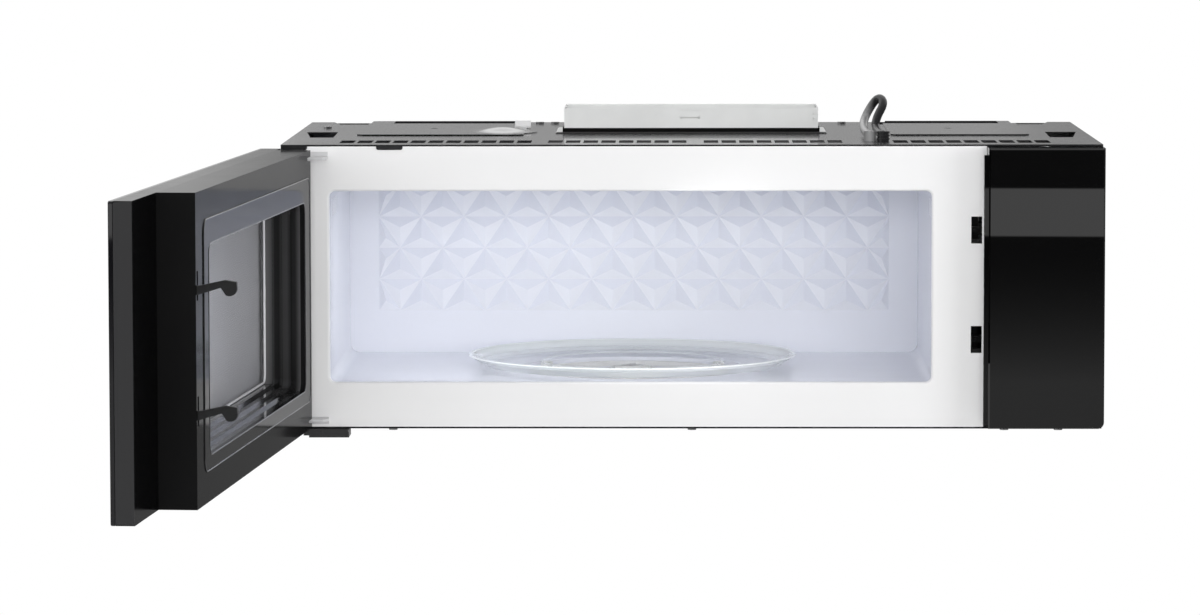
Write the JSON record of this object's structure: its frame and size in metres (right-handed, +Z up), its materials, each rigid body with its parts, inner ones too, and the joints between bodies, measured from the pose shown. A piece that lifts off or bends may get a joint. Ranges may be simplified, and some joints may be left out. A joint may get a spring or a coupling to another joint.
{
  "type": "over the range microwave",
  "caption": "Over the range microwave with a left-hinged door that swings open, glass turntable, oven cavity, top exhaust damper and a power cord at the top.",
  "frame": {"origin": "middle of the rear bottom edge, on the wall plane that the cabinet hangs against", "axes": "+X to the right seen from the front, +Y into the wall, +Z up; the front of the oven faces -Y"},
  "size_m": [0.8377, 1.1713, 0.3105],
  "materials": {
    "cabinet_paint": "semi-gloss black enamel on folded steel",
    "plated_steel": "plain zinc-plated sheet",
    "white_enamel": "white gloss enamel",
    "cavity_enamel": "pale grey-blue gloss enamel",
    "gloss_black": "gloss black moulding",
    "door_glass": "black-backed toughened glass",
    "window_glass": "clear pane",
    "screen": "perforated, blackened",
    "door_inner": "satin dark grey moulding",
    "door_black": "black moulding",
    "black_plastic": "matt black moulding",
    "white_plastic": "natural white moulding",
    "tray_glass": "pressed clear glass",
    "mica": "mica sheet",
    "board": "green circuit board with black parts",
    "motor_steel": "plain steel",
    "aluminium": "plain aluminium",
    "copper": "enamelled copper winding",
    "spring_steel": "plain spring wire",
    "foam": "black foam gasket",
    "galvanised": "bright galvanised sheet",
    "charcoal": "black granule cartridge",
    "filter_mesh": "woven aluminium mesh in a frame",
    "lens": "clear ribbed lens",
    "rubber": "grey rubber",
    "screw_steel": "zinc-plated screws"
  },
  "bodies": {
    "cabinet": {"top_plate": "cabinet_paint", "base_plate": "cabinet_paint", "side_left": "cabinet_paint", "side_right": "cabinet_paint", "back_plate": "plated_steel", "front_frame": "white_enamel", "cavity_shell": "cavity_enamel", "cavity_back_wall": "cavity_enamel", "right_panel": "gloss_black", "hinge_bracket_upper": "white_enamel", "hinge_bracket_lower": "white_enamel", "hinge_foot": "cabinet_paint", "case_screws": "screw_steel", "turntable_motor": "motor_steel", "waveguide_cover": "mica", "cavity_lamp": "white_plastic", "latch_board": "white_plastic", "interlock_switches": "black_plastic", "control_board": "board", "magnetron_yoke": "motor_steel", "magnetron_fins": "aluminium", "waveguide": "plated_steel", "transformer_core": "motor_steel", "transformer_windings": "copper", "hv_capacitor": "aluminium", "fan_motor": "motor_steel", "fan_shroud": "black_plastic", "blower_housing": "plated_steel", "blower_motor": "motor_steel", "duct_flange": "galvanised", "damper_gasket": "foam", "damper_frame": "galvanised", "charcoal_filter": "charcoal", "grease_filter_left": "filter_mesh", "grease_filter_right": "filter_mesh", "lamp_covers": "lens", "cooktop_lamps": "plated_steel", "cord_bushes": "black_plastic", "power_cord": "rubber"},
    "door": {"door_glass": "door_glass", "door_outer_frame": "door_black", "door_inner_frame": "door_inner", "door_choke": "door_black", "door_seal_ring": "door_inner", "window_glass": "window_glass", "window_screen": "screen", "touch_board": "board", "latch_spring": "spring_steel"},
    "latch": {"latch_bar": "black_plastic"},
    "upper_plunger": {"plunger_upper": "white_plastic"},
    "lower_plunger": {"plunger_lower": "white_plastic"},
    "turntable": {"turntable_coupler": "white_plastic", "glass_tray": "tray_glass"},
    "ring": {"roller_ring": "white_plastic"},
    "roller_a": {"roller_1": "white_plastic"},
    "roller_b": {"roller_2": "white_plastic"},
    "roller_c": {"roller_3": "white_plastic"},
    "damper": {"damper_flap": "galvanised"},
    "blower": {"blower_wheels": "black_plastic"},
    "cooling_fan": {"fan_blade": "black_plastic"}
  },
  "joints": [
    {"name": "door_hinge", "type": "hinge", "parent": "cabinet", "child": "door", "pos_m": [-0.3622, -0.4349, 0.1316], "axis": [0, 0, 1], "range_deg": [0, 94.5]},
    {"name": "latch_slide", "type": "slide", "parent": "door", "child": "latch", "axis": [0, 0, 1], "range_m": [0, 0.005], "stiffness_N_per_m": 150, "springref_m": -0.008, "deforming": ["latch_spring"]},
    {"name": "upper_plunger_press", "type": "slide", "parent": "cabinet", "child": "upper_plunger", "axis": [0, 1, 0], "range_m": [0, 0.0015], "stiffness_N_per_m": 200, "springref_m": -0.001},
    {"name": "lower_plunger_press", "type": "slide", "parent": "cabinet", "child": "lower_plunger", "axis": [0, 1, 0], "range_m": [0, 0.0015], "stiffness_N_per_m": 200, "springref_m": -0.001},
    {"name": "turntable_spin", "type": "hinge", "parent": "cabinet", "child": "turntable", "pos_m": [-0.0565, -0.242, 0.042], "axis": [0, 0, 1], "continuous": true},
    {"name": "roller_ring_spin", "type": "hinge", "parent": "cabinet", "child": "ring", "pos_m": [-0.0565, -0.242, 0.03525], "axis": [0, 0, 1], "continuous": true},
    {"name": "roller_a_spin", "type": "hinge", "parent": "ring", "child": "roller_a", "pos_m": [0.02664, -0.194, 0.03525], "axis": [0.866, 0.5, 0], "continuous": true},
    {"name": "roller_b_spin", "type": "hinge", "parent": "ring", "child": "roller_b", "pos_m": [-0.13964, -0.194, 0.03525], "axis": [-0.866, 0.5, 0], "continuous": true},
    {"name": "roller_c_spin", "type": "hinge", "parent": "ring", "child": "roller_c", "pos_m": [-0.0565, -0.338, 0.03525], "axis": [0, -1, 0], "continuous": true},
    {"name": "damper_hinge", "type": "hinge", "parent": "cabinet", "child": "damper", "pos_m": [0, -0.138, 0.2725], "axis": [-1, 0, 0], "range_deg": [0, 75]},
    {"name": "blower_spin", "type": "hinge", "parent": "cabinet", "child": "blower", "pos_m": [0, -0.04, 0.188], "axis": [1, 0, 0], "continuous": true},
    {"name": "cooling_fan_spin", "type": "hinge", "parent": "cabinet", "child": "cooling_fan", "pos_m": [0.298, -0.08, 0.118], "axis": [0, 1, 0], "continuous": true}
  ],
  "couplings": [
    {"joint": "roller_ring_spin", "follows": "turntable_spin", "ratio": 0.5},
    {"joint": "roller_a_spin", "follows": "turntable_spin", "ratio": -7.4419},
    {"joint": "roller_b_spin", "follows": "turntable_spin", "ratio": -7.4419},
    {"joint": "roller_c_spin", "follows": "turntable_spin", "ratio": -7.4419}
  ]
}
